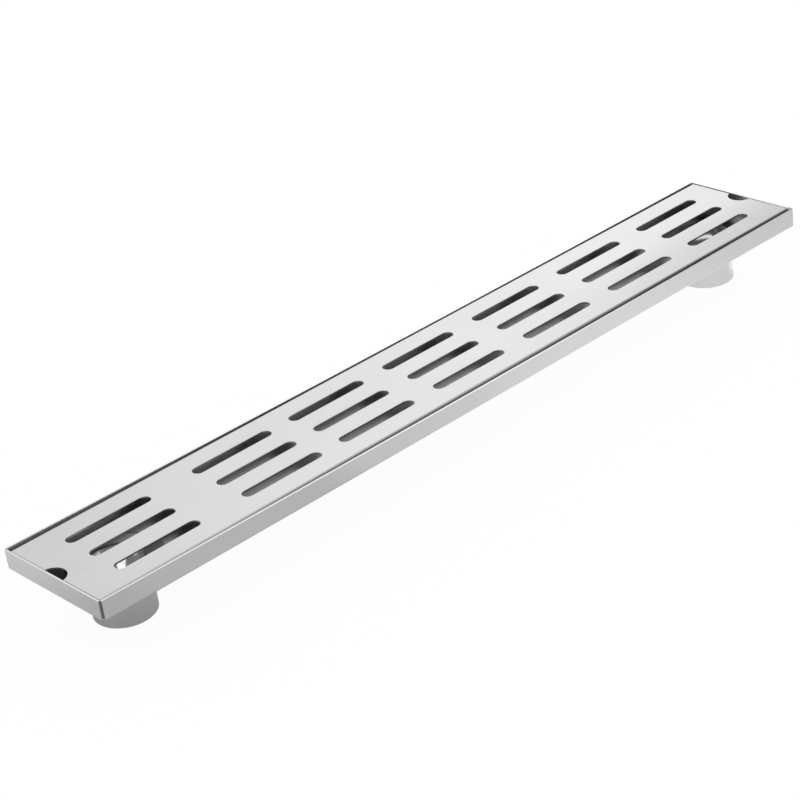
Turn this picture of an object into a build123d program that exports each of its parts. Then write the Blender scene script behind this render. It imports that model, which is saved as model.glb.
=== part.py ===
from build123d import *
from math import asin, cos, sin, tan, atan2
import os

os.makedirs("parts", exist_ok=True)

# Linear shower drain: a shallow tray folded from sheet steel, a spigot under each end of it for the waste
# pipes, and a loose slotted grate, folded from the same sheet, that stands in the tray on its own skirts.
# Millimetres. X runs along the drain, +Y is its back and Z is up. The origin lies under the middle of the
# tray, on the ground that the spigots stand on.

# Sheet of the tray and of the grate
sheet = 1.0

# Tray
tray_length = 500.0
tray_width = 76.0
tray_height = 11.0
tray_bend = 0.3  # inside radius of the folds
rim_dip = 0.9  # how far the rims of the long walls sag half way along
seam_gap = 0.1  # left open between two walls where they come together at a corner
relief_radius = 0.8  # punched corner relief at the foot of each seam

# Outlets: a welded tube in a dish pressed into the floor
outlet_inset = 35.5  # tube axis from the end of the tray
tube_diameter = 31.8
tube_wall = 1.2
tube_foot_chamfer = 0.4
outlet_drop = 27.4  # foot of the tube below the underside of the tray
dish_depth = 1.0
dish_width = 7.4  # from the tube's outside to the rim of the dish
dish_bend = 1.5  # inside radius of the pressed bends
weld_leg = 1.0

# Grate
grate_sink = 0.2  # top of the grate below the end walls' rims
grate_fold = 1.0  # inside radius of the folds along the long edges
side_clearance = 1.05  # between each skirt and the long wall beside it, when centred
end_clearance = 0.6
end_slide_share = 0.4  # how far the loose grate has slid to the left, of the way to the floor's fold
side_slide_share = 0.29  # and towards the front, as a share of the side clearance
corner_gap = 0.05  # left between the turned grate's front left corner and the front wall

# Slots of the grate
slot_length = 49.7
slot_width = 6.6
column_bridge = 18.3  # plain metal between two slots in a row
row_bridge = 12.4  # plain metal between two rows
row_margin = 8.0  # least plain strip beside the fold
first_column_inset = 45.9  # middle of the first column from the left end of the grate
last_column_inset = 42.9
second_column_shift = 9.2  # the second column is punched nearer the middle than an even step
slot_edge_break = 0.2  # deburred edge round the top of each slot

# Finger notches in the ends of the grate
notch_radius = 7.5
notch_depth = 6.0

# Levels
tray_under = outlet_drop
floor_top = tray_under + sheet
rim_top = tray_under + tray_height
grate_top = rim_top - grate_sink

# Outlet places and radii
outlet_places = {
    "left_outlet": -tray_length / 2 + outlet_inset,
    "right_outlet": tray_length / 2 - outlet_inset,
}
tube_radius = tube_diameter / 2
bore_radius = tube_radius - tube_wall
land_radius = tube_radius + weld_leg  # flat ring that the tube is welded to
dish_radius = tube_radius + dish_width
dish_slope = atan2(dish_depth, dish_radius - land_radius)
upper_crease = sheet * tan(dish_slope / 2)  # the upper face creases this much nearer the axis
dish_edge = dish_radius + (dish_bend + sheet) * tan(dish_slope / 2) + sheet


# Tray: a pan with its four walls folded up from the floor
with BuildPart() as tray:
    with BuildSketch(Plane.XY.offset(tray_under)):
        Rectangle(tray_length, tray_width)
    extrude(amount=tray_height)
    fillet(tray.faces().sort_by(Axis.Z)[0].edges(), radius=tray_bend + sheet)
    offset(amount=-sheet, openings=tray.faces().sort_by(Axis.Z)[-1])

    # All four walls stop just short of the corners, where they come together edge to edge
    seam = sheet + seam_gap
    with BuildSketch(Plane.XY.offset(tray_under)):
        with GridLocations(tray_length - seam, tray_width - seam, 2, 2):
            Rectangle(seam, seam)
    extrude(amount=tray_height, mode=Mode.SUBTRACT)
    fold_run = sheet + tray_bend
    with BuildSketch(Plane.XY.offset(tray_under)):
        with GridLocations(tray_length - 2 * fold_run, tray_width - 2 * fold_run, 2, 2):
            Circle(relief_radius)
    extrude(amount=fold_run, mode=Mode.SUBTRACT)

    # The rims of the long walls sag in a shallow arc from end to end
    rim_half = tray_length / 2 - seam
    with BuildSketch(Plane.XZ):
        with BuildLine():
            rim_arc = ThreePointArc((-rim_half, rim_top), (0, rim_top - rim_dip), (rim_half, rim_top))
            Polyline(rim_arc @ 1, (rim_half, rim_top + sheet), (-rim_half, rim_top + sheet), rim_arc @ 0)
        make_face()
    extrude(amount=tray_width, both=True, mode=Mode.SUBTRACT)

    # The floor is pressed down round each outlet to a flat ring with the bore in it
    for outlet_x in outlet_places.values():
        with BuildSketch(Plane.XY.offset(tray_under)):
            with Locations((outlet_x, 0)):
                Circle(dish_edge)
        extrude(amount=sheet, mode=Mode.SUBTRACT)
        with BuildSketch(Plane((outlet_x, 0, tray_under), x_dir=(1, 0, 0), z_dir=(0, -1, 0))):
            with BuildLine():
                under = FilletPolyline(
                    (bore_radius, -dish_depth),
                    (land_radius, -dish_depth),
                    (dish_radius, 0),
                    (dish_edge, 0),
                    radius=[dish_bend + sheet, dish_bend],
                )
                over = FilletPolyline(
                    (dish_edge, sheet),
                    (dish_radius - upper_crease, sheet),
                    (land_radius - upper_crease, sheet - dish_depth),
                    (bore_radius, sheet - dish_depth),
                    radius=[dish_bend + sheet, dish_bend],
                )
                Line(under @ 1, over @ 0)
                Line(over @ 1, under @ 0)
            make_face()
        revolve(axis=Axis((outlet_x, 0, 0), (0, 0, 1)))

tray.part.label = "tray"
export_step(tray.part, "parts/tray.step")


# Outlets: a plain tube butted under each dish, with its fillet weld round the top
tube_top = tray_under - dish_depth
for outlet_name, outlet_x in outlet_places.items():
    with BuildPart() as outlet:
        with BuildSketch(Plane((outlet_x, 0, 0), x_dir=(1, 0, 0), z_dir=(0, -1, 0))):
            with BuildLine():
                Polyline(
                    (tube_radius, tube_top - weld_leg),
                    (tube_radius, tube_foot_chamfer),
                    (tube_radius - tube_foot_chamfer, 0),
                    (bore_radius, 0),
                    (bore_radius, tube_top),
                    (land_radius, tube_top),
                    close=True,
                )
            make_face()
        revolve(axis=Axis((outlet_x, 0, 0), (0, 0, 1)))
    outlet.part.label = outlet_name
    export_step(outlet.part, f"parts/{outlet_name}.step")


# The grate lies loose: slid towards the left end and the front, and turned until its front left corner
# all but touches the front wall
grate_length = tray_length - 2 * (sheet + end_clearance)
grate_width = tray_width - 2 * (sheet + side_clearance)
grate_height = grate_top - floor_top
shift_x = -end_slide_share * (end_clearance - tray_bend)
shift_y = -side_slide_share * side_clearance
grate_turn = asin((side_clearance + shift_y - corner_gap) / (grate_length / 2))
grate_plane = Plane((shift_x, shift_y, floor_top), x_dir=(cos(grate_turn), sin(grate_turn), 0))
along_grate = Axis((0, 0, 0), grate_plane.x_dir)
across_grate = Axis((0, 0, 0), grate_plane.y_dir)

# Slot places: an even step from the first column to the last, where the second column's shift halves
# from each column to the next
column_span = grate_length - first_column_inset - last_column_inset
columns = 1 + round(column_span / (slot_length + column_bridge))
column_step = column_span / (columns - 1)
column_places = [
    first_column_inset - grate_length / 2 + column * column_step + second_column_shift / 2 ** (column - 1)
    for column in range(1, columns - 1)
]
column_places = [first_column_inset - grate_length / 2, *column_places, grate_length / 2 - last_column_inset]
row_step = slot_width + row_bridge
row_room = grate_width - 2 * (grate_fold + sheet + row_margin) - slot_width
rows = 1 + int(row_room / row_step)
row_places = [(row - (rows - 1) / 2) * row_step for row in range(rows)]
slot_places = [(x, y) for x in column_places for y in row_places]

# Grate: a plate with its long edges folded down as skirts, slotted and notched
with BuildPart() as grate:
    with BuildSketch(grate_plane):
        Rectangle(grate_length, grate_width)
    extrude(amount=grate_height)
    long_edges = grate.faces().sort_by(Axis.Z)[-1].edges().sort_by(SortBy.LENGTH)[-2:]
    fillet(long_edges, radius=grate_fold + sheet)
    ends = grate.faces().sort_by(along_grate)
    offset(amount=-sheet, openings=[grate.faces().sort_by(Axis.Z)[0], ends[0], ends[-1]])

    # The outer edge of each skirt's foot clears the folds along the floor of the tray
    feet = grate.faces().sort_by(Axis.Z)[:2].edges().filter_by(along_grate).sort_by(across_grate)
    chamfer([feet[0], feet[-1]], length=tray_bend)

    with BuildSketch(grate_plane.offset(grate_height)):
        with Locations(*slot_places):
            SlotOverall(slot_length, slot_width)
        with GridLocations(grate_length + 2 * (notch_radius - notch_depth), 0, 2, 1):
            Circle(notch_radius)
    extrude(amount=-sheet, mode=Mode.SUBTRACT)
    slot_edges = grate.faces().sort_by(Axis.Z)[-1].inner_wires().edges()
    chamfer(slot_edges, length=slot_edge_break)

grate.part.label = "grate"
export_step(grate.part, "parts/grate.step")
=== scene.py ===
import math

import bpy
import numpy as np
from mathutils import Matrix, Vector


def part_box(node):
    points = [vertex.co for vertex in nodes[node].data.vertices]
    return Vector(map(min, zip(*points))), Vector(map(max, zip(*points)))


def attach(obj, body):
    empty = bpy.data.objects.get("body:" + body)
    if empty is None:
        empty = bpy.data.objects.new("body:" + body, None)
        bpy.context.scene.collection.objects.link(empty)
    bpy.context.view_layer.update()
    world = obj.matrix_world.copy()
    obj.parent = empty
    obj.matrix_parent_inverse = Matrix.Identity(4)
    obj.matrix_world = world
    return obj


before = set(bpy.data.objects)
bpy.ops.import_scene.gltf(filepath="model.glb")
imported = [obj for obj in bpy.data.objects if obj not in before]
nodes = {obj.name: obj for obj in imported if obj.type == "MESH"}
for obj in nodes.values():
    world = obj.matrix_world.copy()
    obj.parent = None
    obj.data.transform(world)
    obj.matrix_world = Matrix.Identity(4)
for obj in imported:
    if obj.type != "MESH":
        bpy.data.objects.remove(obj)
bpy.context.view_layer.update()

scene = bpy.context.scene
print("frame loaded:", ", ".join(sorted(nodes)))


# a socket that can be used in sums, so that shader maths reads as plain expressions
class Wire:
    def __init__(self, tree, socket):
        self.tree = tree
        self.socket = socket

    def maths(self, operation, first, second):
        return put(self.tree, "ShaderNodeMath", {"operation": operation}, {0: first, 1: second})

    def __add__(self, other):
        return self.maths("ADD", self, other)

    def __radd__(self, other):
        return self.maths("ADD", other, self)

    def __sub__(self, other):
        return self.maths("SUBTRACT", self, other)

    def __rsub__(self, other):
        return self.maths("SUBTRACT", other, self)

    def __mul__(self, other):
        return self.maths("MULTIPLY", self, other)

    def __rmul__(self, other):
        return self.maths("MULTIPLY", other, self)

    def __gt__(self, other):
        return self.maths("GREATER_THAN", self, other)

    def __abs__(self):
        return self.maths("ABSOLUTE", self, 0)

    # eases from 0 to 1 between two values
    def ease(self, start, end):
        limits = {"Value": self, "From Min": start, "From Max": end}
        return put(self.tree, "ShaderNodeMapRange", {"interpolation_type": "SMOOTHSTEP"}, limits)


# any node: its settings first, then the values or wires of its sockets; gives back one output
def put(tree, kind, settings=None, sockets=None, out=0):
    node = tree.nodes.new(kind)
    for name, value in (settings or {}).items():
        setattr(node, name, value)
    for name, value in (sockets or {}).items():
        if isinstance(value, Wire):
            tree.links.new(value.socket, node.inputs[name])
        else:
            node.inputs[name].default_value = value
    return Wire(tree, node.outputs[out]) if len(node.outputs) else node


mixSockets = {"VECTOR": (4, 5, 1), "RGBA": (6, 7, 2)}  # the Mix node's two inputs and output for each kind


def mix(tree, kind, share, first, second):
    firstIn, secondIn, out = mixSockets[kind]
    sockets = {"Factor": share, firstIn: first, secondIn: second}
    return put(tree, "ShaderNodeMix", {"data_type": kind}, sockets, out)


def vectorMaths(tree, operation, sockets, out=0):
    return put(tree, "ShaderNodeVectorMath", {"operation": operation}, sockets, out)


def axes(tree, vector):
    return {axis: put(tree, "ShaderNodeSeparateXYZ", {}, {0: vector}, axis) for axis in "XYZ"}


def emptyMaterial(name):
    material = bpy.data.materials.new(name)
    material.use_nodes = True
    material.node_tree.nodes.clear()
    return material, material.node_tree


# what all the brushed pieces share, in metres
brushedLook = {
    "streakWidth": 0.00035,
    "streakLength": 0.03,
    "fineDetail": 2.0,
    "fineShare": 0.65,  # of the fine streaks in the grain, the rest are coarse ones
    "coarseWider": 6,  # the coarse streaks, in widths and lengths of the fine ones
    "coarseLonger": 4,
    "coarseDetail": 1.0,
    "endWallFrom": 0.7,  # how squarely a face looks along the drain before its streaks run upwards
    "cloudScale": 14.0,
    "cloudDetail": 3.0,
    "cloudRange": (0.2, 0.8),
    "cloudShare": 0.5,  # of the soft clouds in the tone, the rest is grain
    "roughness": 0.3,
    "roughnessSwing": 0.16,  # with the grain
    "smudge": 0.08,  # with the clouds
    "relief": 0.000012,
}
noiseMiddle = 0.5  # noise swings round this value


# brushed sheet: streaks run along the drain, and up the walls that are folded across it; spots are the
# places whose tone and roughness differ from the plain sheet, and on the grate and tray most spot tones are
# painted highlights and painted shade
def brushedSteel(name, look, spots=()):
    material, tree = emptyMaterial(name)
    place = put(tree, "ShaderNodeTexCoord", out="Object")
    facing = put(tree, "ShaderNodeNewGeometry", out="Normal")
    endWall = abs(axes(tree, facing)["X"]) > look["endWallFrom"]

    def noise(where, scale, detail):
        sockets = {"Vector": where, "Scale": scale, "Detail": detail}
        return put(tree, "ShaderNodeTexNoise", {}, sockets, "Fac")

    def streaks(wider, longer, detail):
        width, length = look["streakWidth"] * wider, look["streakLength"] * longer
        alongDrain = vectorMaths(tree, "MULTIPLY", {0: place, 1: (1 / length, 1 / width, 1 / width)})
        upWall = vectorMaths(tree, "MULTIPLY", {0: place, 1: (1 / width, 1 / width, 1 / length)})
        return noise(mix(tree, "VECTOR", endWall, alongDrain, upWall), 1.0, detail)

    def bump(distance, height, normal):
        sockets = {"Strength": 1.0, "Distance": distance, "Height": height, "Normal": normal}
        return put(tree, "ShaderNodeBump", {}, sockets, "Normal")

    fine = streaks(1, 1, look["fineDetail"])
    coarse = streaks(look["coarseWider"], look["coarseLonger"], look["coarseDetail"])
    grain = look["fineShare"] * fine + (1 - look["fineShare"]) * coarse
    cloud = noise(place, look["cloudScale"], look["cloudDetail"])
    clouded = look["cloudShare"] * cloud.ease(*look["cloudRange"])
    lightShare = (1 - look["cloudShare"]) * grain + clouded
    shade = mix(tree, "RGBA", lightShare, (*look["dark"], 1), (*look["light"], 1))
    roughness = look["roughness"] + (grain - noiseMiddle) * look["roughnessSwing"]
    roughness = roughness + (cloud - noiseMiddle) * look["smudge"]
    for spot in spots:
        share = spot["where"](axes(tree, place), axes(tree, facing))
        shade = vectorMaths(tree, "SCALE", {0: shade, "Scale": 1 + share * (spot["tone"] - 1)})
        roughness = roughness + share * (spot["roughness"] - roughness)
    shape = facing
    if "lean" in look:
        leaning = axes(tree, place)
        height = leaning["X"].ease(*look["leanAlong"]) * leaning["Y"].ease(*look["leanAcross"])
        shape = bump(look["lean"], height, facing)
    relief = bump(look["relief"], grain, shape)
    sockets = {"Base Color": shade, "Metallic": 1.0, "Roughness": roughness, "Normal": relief}
    steel = put(tree, "ShaderNodeBsdfPrincipled", {}, sockets, "BSDF")
    put(tree, "ShaderNodeOutputMaterial", {}, {"Surface": steel})
    return material


def finishNodes(nodeNames, finish):
    for nodeName in nodeNames:
        nodes[nodeName].material_slots[0].material = finish


grateLook = {
    **brushedLook,
    "dark": (0.66, 0.66, 0.655),
    "light": (0.78, 0.78, 0.775),
    # towards the right end the front strip mirrors as if it leaned a little towards its fold
    "lean": 0.0075,
    "leanAlong": (-0.15, 0.25),
    "leanAcross": (-0.08, 0.005),
    "skew": 0.0028,  # the turn of the grate in the tray, and its shift to the front
    "shift": -0.0003,
    "foldStart": 0.0341,  # from the grate's middle line
    # the folds, with painted shade: dull and darkened from where they start to turn down, and darker
    # further down
    "folds": [
        {"tilt": (0.995, 0.9), "along": (0.0, 0.2), "tone": 0.35, "roughness": 0.4},
        {"tilt": (0.85, 0.72), "along": (-0.22, -0.08), "tone": 0.3, "roughness": 0.4},
    ],
}


# painted shade on the outside of the grate's folds and skirts, from a tilt on and growing along the drain
def foldShadeOfGrate(tilt, along):
    def share(place, facing):
        across = abs(place["Y"] - place["X"] * grateLook["skew"] - grateLook["shift"])
        outside = (across > grateLook["foldStart"]) * (place["Y"] * facing["Y"] > 0)
        return outside * facing["Z"].ease(*tilt) * place["X"].ease(*along)
    return share


foldShadeSpots = [{**fold, "where": foldShadeOfGrate(fold["tilt"], fold["along"])} for fold in grateLook["folds"]]
finishNodes(["grate"], brushedSteel("grate_brushed", grateLook, foldShadeSpots))

trayLow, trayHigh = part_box("tray")
tubeLow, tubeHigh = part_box("right_outlet")
tubeX = (tubeLow.x + tubeHigh.x) / 2

trayLook = {
    **brushedLook,
    "dark": (0.6, 0.6, 0.595),
    "light": (0.72, 0.72, 0.715),
    "streakLength": 0.04,
    "roughness": 0.28,
    "rimDepth": (0.0016, 0.0012),  # below the top of the walls
    "rimTilt": (0.7, 0.9),
    "frontRimShadeAlong": (0.0, 0.2),
    "frontRimShare": 0.9,  # of the tray's half width
    "seamInset": 0.0012,
    "insideShares": (0.5, 0.8),  # of the tray's half length or width
    "endsAcross": (0.005, -0.01),
    "floorHeight": (0.0035, 0.003),  # above the tray's lowest point
    "floorTilt": (0.2, 0.4),
    "dishRadius": 0.0245,
}


# the sheared edges along the top of the walls, brightened as a painted highlight
def rimHighlightOfTray(place, facing):
    start, end = [trayHigh.z - depth for depth in trayLook["rimDepth"]]
    return place["Z"].ease(start, end) * facing["Z"].ease(*trayLook["rimTilt"])


# painted shade darkening the rim of the front wall, towards the right end
def frontRimShadeOfTray(place, facing):
    inFront = place["Y"] * -1 > trayLook["frontRimShare"] * trayHigh.y
    return rimHighlightOfTray(place, facing) * place["X"].ease(*trayLook["frontRimShadeAlong"]) * inFront


# painted shade: the cut ends of the walls in the corner seams, darkened
def seamShadeOfTray(place, facing):
    inset = trayLook["seamInset"]
    return (abs(place["X"]) > trayHigh.x - inset) * (abs(place["Y"]) > trayHigh.y - inset)


# the inner faces of the walls that stand half a size out along an axis, which look towards the middle
def innerFaces(place, facing, axis, halfSize):
    start, end = [share * halfSize for share in trayLook["insideShares"]]
    return (place[axis] * facing[axis] * -1).ease(start, end)


def insideOfTray(place, facing):
    return innerFaces(place, facing, "Y", trayHigh.y)


# painted light: the front half of the end walls' inner faces, brighter and matte
def endLightOfTray(place, facing):
    return innerFaces(place, facing, "X", trayHigh.x) * place["Y"].ease(*trayLook["endsAcross"])


# painted shade: the tray's floor in the channel under the grate, darkened
def floorShadeOfTray(place, facing):
    start, end = [trayLow.z + height for height in trayLook["floorHeight"]]
    return place["Z"].ease(start, end) * facing["Z"].ease(*trayLook["floorTilt"])


# within a distance of the nearer tube's axis
def nearTube(place, radius):
    fromAxis = abs(place["X"]) - tubeX
    return 1 - (fromAxis * fromAxis + place["Y"] * place["Y"] > radius ** 2)


# painted shade: the pressed dish, darker still
def dishShadeOfTray(place, facing):
    return floorShadeOfTray(place, facing) * nearTube(place, trayLook["dishRadius"])


# tones: the inner faces of the long walls a little darker; painted light on the end walls; a painted
# highlight on the rims; painted shade on the front rim to the right, in the seams, on the floor and, darker
# still, on the dishes
traySpots = [
    {"where": insideOfTray, "tone": 0.9, "roughness": 0.5},
    {"where": endLightOfTray, "tone": 1.38, "roughness": 1.0},
    {"where": rimHighlightOfTray, "tone": 1.3, "roughness": 0.3},
    {"where": frontRimShadeOfTray, "tone": 0.5, "roughness": 0.3},
    {"where": seamShadeOfTray, "tone": 0.6, "roughness": 0.5},
    {"where": floorShadeOfTray, "tone": 0.88, "roughness": 0.36},
    {"where": dishShadeOfTray, "tone": 0.55, "roughness": 0.36},
]
finishNodes(["tray"], brushedSteel("tray_brushed", trayLook, traySpots))

outletLook = {
    **brushedLook,
    "dark": (0.56, 0.56, 0.555),
    "light": (0.66, 0.66, 0.655),
    "streakWidth": 0.0005,
    "streakLength": 0.02,
    "boreRadius": 0.0147,
    "halfWall": 0.0006,
}


# the bore, inside half the tube's wall
def boreOfTube(place, facing):
    return nearTube(place, outletLook["boreRadius"] + outletLook["halfWall"])


boreSpots = [{"where": boreOfTube, "tone": 1.2, "roughness": 0.07}]
finishNodes(["left_outlet", "right_outlet"], brushedSteel("outlet_satin", outletLook, boreSpots))
print("finishes set")


# a mesh from a grid of points, closed round one or both of its directions
def gridPiece(name, points, material, closedU=False, closedV=False):
    rows, columns = points.shape[:2]
    u = np.arange(rows if closedU else rows - 1)[:, None]
    v = np.arange(columns if closedV else columns - 1)[None, :]
    nextU, nextV = (u + 1) % rows, (v + 1) % columns
    corners = [u * columns + v, nextU * columns + v, nextU * columns + nextV, u * columns + nextV]
    quads = np.stack(np.broadcast_arrays(*corners), axis=-1).reshape(-1, 4)
    mesh = bpy.data.meshes.new(name)
    mesh.from_pydata(points.reshape(-1, 3), [], quads)
    mesh.polygons.foreach_set("use_smooth", np.ones(len(quads), bool))
    mesh.materials.append(material)
    mesh.update()
    piece = bpy.data.objects.new(name, mesh)
    scene.collection.objects.link(piece)
    return piece


weldLook = {
    **outletLook,
    "dark": (0.42, 0.42, 0.41),
    "light": (0.62, 0.62, 0.61),
    "roughness": 0.36,
}
weldBead = {
    "leg": 0.0010,  # as the fillet weld of the tubes
    "slantLegs": 0.72,  # half the section's length along the weld's slant, in legs
    "swell": 0.0003,  # how far the bead stands out of the plain weld
    "ripples": 70,
    "rippleHeight": 0.00008,
    "steps": 560,
    "sideSteps": 14,
}


# weld bead: a ring round the tube whose section is an ellipse, with its long axis laid on the weld's slant
# and its short axis swelling with each ripple
def beadRing(name, outletName, material):
    low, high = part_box(outletName)
    centre = (low + high) / 2
    ringRadius = (high.x - low.x) / 2 - weldBead["leg"] / 2
    turn = np.linspace(0, 2 * np.pi, weldBead["steps"], endpoint=False)[:, None]
    around = np.linspace(0, 2 * np.pi, weldBead["sideSteps"], endpoint=False)[None, :]
    ripple = np.abs(np.sin(turn * weldBead["ripples"] / 2)) * weldBead["rippleHeight"]
    slant = weldBead["leg"] * weldBead["slantLegs"] * np.cos(around)
    outward = (weldBead["swell"] + ripple) * np.sin(around)
    radius = ringRadius + (slant + outward) / math.sqrt(2)
    height = high.z - weldBead["leg"] / 2 + (slant - outward) / math.sqrt(2)
    points = np.stack([centre.x + radius * np.cos(turn), centre.y + radius * np.sin(turn), height], axis=-1)
    facesOut = points[:, ::-1]  # the other way round the section, so that the faces point outwards
    piece = gridPiece(name, facesOut, material, closedU=True, closedV=True)
    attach(piece, "root")


weldSteel = brushedSteel("weld_steel", weldLook)
for sideName in ("left", "right"):
    beadRing(f"{sideName}_weld_bead", f"{sideName}_outlet", weldSteel)
print("weld beads made")


# the rays that the lens sees, also through something clear, and the rays that the steel mirrors
def raysOf(tree):
    rays = {
        ray: put(tree, "ShaderNodeLightPath", out=f"Is {ray} Ray")
        for ray in ("Camera", "Transmission", "Glossy")
    }
    return rays["Camera"] + rays["Transmission"], rays["Glossy"]


floorLook = {
    "size": 6.0,
    "points": 3,  # along each side
    "paper": (0.86, 0.86, 0.86),
    "shadowShare": 0.05,  # how much of the floor's look is its lit paper, which keeps the shadow
    "mirroredShadowShare": 0.2,
    "mirroredDim": 0.52,  # glow of the floor in the steel, in front of the left end
    # what that glow gains between two places along x or y, in metres, or over two such stretches at once
    "mirroredGains": [
        (0.12, {"X": (-0.23, -0.17)}),
        (0.22, {"X": (-0.085, -0.045)}),
        (0.15, {"X": (-0.04, 0.12)}),
        (-0.2, {"X": (0.16, 0.30)}),
        (0.24, {"Y": (0.0, 0.09)}),
        (-0.12, {"X": (-0.25, -0.235), "Y": (-0.065, -0.045)}),
        (0.24, {"X": (-0.1, 0.1), "Y": (-0.065, -0.045)}),
        (0.5, {"X": (0.228, 0.236), "Y": (-0.03, -0.018)}),
    ],
    # inside each tube the floor is dim in the steel, but for a round spot
    "bores": [
        {"axis": (-tubeX, 0.0), "glow": 0.32, "spot": (-0.2259, -0.0072), "spotRadius": 0.0055},
        {"axis": (tubeX, 0.0), "glow": 0.13, "spot": (0.2129, -0.0024), "spotRadius": 0.0024},
    ],
    "spotGain": 1.7,
    "discEdge": (1.1, 0.9),  # where a bore or spot fades, in radii
}


# the floor: a flat square of paper at height 0, white to the lens, with a glow of its own to the steel
def paperFloor():
    material, tree = emptyMaterial("paper_floor")
    paper = put(tree, "ShaderNodeBsdfDiffuse", {}, {"Color": (*floorLook["paper"], 1)})
    white = put(tree, "ShaderNodeEmission", {}, {"Color": (1, 1, 1, 1), "Strength": 1.0})
    place = put(tree, "ShaderNodeTexCoord", out="Object")
    onFloor = axes(tree, place)

    def disc(centre, radius):
        distance = vectorMaths(tree, "DISTANCE", {0: place, 1: (*centre, 0)}, "Value")
        start, end = [share * radius for share in floorLook["discEdge"]]
        return distance.ease(start, end)

    glow = floorLook["mirroredDim"]
    for gain, stretches in floorLook["mirroredGains"]:
        for axis, (start, end) in stretches.items():
            gain = onFloor[axis].ease(start, end) * gain
        glow = gain + glow
    for bore in floorLook["bores"]:
        inBore = disc(bore["spot"], bore["spotRadius"]) * floorLook["spotGain"] + bore["glow"]
        glow = glow + disc(bore["axis"], outletLook["boreRadius"]) * (inBore - glow)
    mirrored = put(tree, "ShaderNodeEmission", {}, {"Color": glow, "Strength": 1.0})
    seen, inSteel = raysOf(tree)
    whiteShare = seen * (1 - floorLook["shadowShare"])
    surface = put(tree, "ShaderNodeMixShader", {}, {0: whiteShare, 1: paper, 2: white})
    mirroredShare = inSteel * (1 - floorLook["mirroredShadowShare"])
    surface = put(tree, "ShaderNodeMixShader", {}, {0: mirroredShare, 1: surface, 2: mirrored})
    put(tree, "ShaderNodeOutputMaterial", {}, {"Surface": surface})
    half = floorLook["size"] / 2
    edge = np.linspace(-half, half, floorLook["points"])
    x, y = np.meshgrid(edge, edge, indexing="ij")
    floor = gridPiece("floor", np.stack([x, y, np.zeros_like(x)], axis=-1), material)


paperFloor()

# the studio: white to the lens, an even light on the floor, and to the steel a wide bright patch at the
# back right that fades into an even surround, with a dark card at the front right
worldLook = {
    "light": 1.1,
    "patch": (30.0, 24.0),  # degrees: the way from +x towards +y, and up
    "patchLevel": 1.2,
    "patchEdge": 0.948,  # cosine of the angle at which the patch starts to fade
    "fade": 6.3,
    "surround": 0.75,
    "card": (-15.0, 25.0),  # degrees, as for the patch
    "cardEdge": (0.59, 0.9),  # cosines of the angles at its faint and its dark edge
    "cardLevel": 0.42,
}


# the unit vector of a direction in degrees
def wayOf(turn, rise):
    turn, rise = math.radians(turn), math.radians(rise)
    return math.cos(rise) * math.cos(turn), math.cos(rise) * math.sin(turn), math.sin(rise)


def studioWorld():
    world = bpy.data.worlds.new("studio")
    world.use_nodes = True
    tree = world.node_tree
    tree.nodes.clear()
    way = put(tree, "ShaderNodeTexCoord", out="Generated")
    toPatch, toCard = [
        vectorMaths(tree, "DOT_PRODUCT", {0: way, 1: wayOf(*worldLook[name])}, "Value")
        for name in ("patch", "card")
    ]
    mirrored = put(tree, "ShaderNodeClamp", {}, {
        "Value": (toPatch - worldLook["patchEdge"]) * worldLook["fade"] + worldLook["patchLevel"],
        "Min": worldLook["surround"],
        "Max": worldLook["patchLevel"],
    })
    mirrored = mirrored + toCard.ease(*worldLook["cardEdge"]) * (worldLook["cardLevel"] - mirrored)
    seen, inSteel = raysOf(tree)
    level = seen + inSteel * mirrored + (1 - seen - inSteel) * worldLook["light"]
    sky = put(tree, "ShaderNodeBackground", {}, {"Color": level, "Strength": 1.0})
    put(tree, "ShaderNodeOutputWorld", {}, {"Surface": sky})
    scene.world = world


studioWorld()

softboxes = {
    "back_softbox": {"place": (0.9, 1.1, 1.0), "aim": (0.1, 0, 0.03), "size": (1.2, 0.8), "level": 0.05},
    "top_softbox": {"place": (-0.2, -0.3, 1.4), "aim": (0, 0, 0.03), "size": (1.2, 1.2), "level": 0.05},
}


def aimAt(thing, place, aim):
    thing.location = place
    back = (thing.location - type(thing.location)(aim)).normalized()
    thing.rotation_euler = back.to_track_quat("Z", "Y").to_euler()


for lampName, box in softboxes.items():
    lamp = bpy.data.lights.new(lampName, "AREA")
    lamp.shape = "RECTANGLE"
    lamp.size, lamp.size_y = box["size"]
    lamp.energy = box["level"] * math.pi * box["size"][0] * box["size"][1]
    holder = bpy.data.objects.new(lampName, lamp)
    scene.collection.objects.link(holder)
    aimAt(holder, box["place"], box["aim"])
print("stage and lamps set")


cameraFit = {
    "place": (-0.68470, -0.78154, 0.56702),
    "turn": (61.9781, 6.8172, -43.6104),  # degrees about x, y and z
    "lens": 100.72,
    "sensor": 36,
    "clip": 0.05,
}
camera = bpy.data.objects.new("camera", bpy.data.cameras.new("camera"))
scene.collection.objects.link(camera)
camera.location = cameraFit["place"]
camera.rotation_euler = [math.radians(angle) for angle in cameraFit["turn"]]
camera.data.sensor_width = cameraFit["sensor"]
camera.data.lens = cameraFit["lens"]
camera.data.clip_start = cameraFit["clip"]
scene.camera = camera
scene.view_settings.view_transform = "Standard"
print("camera set")
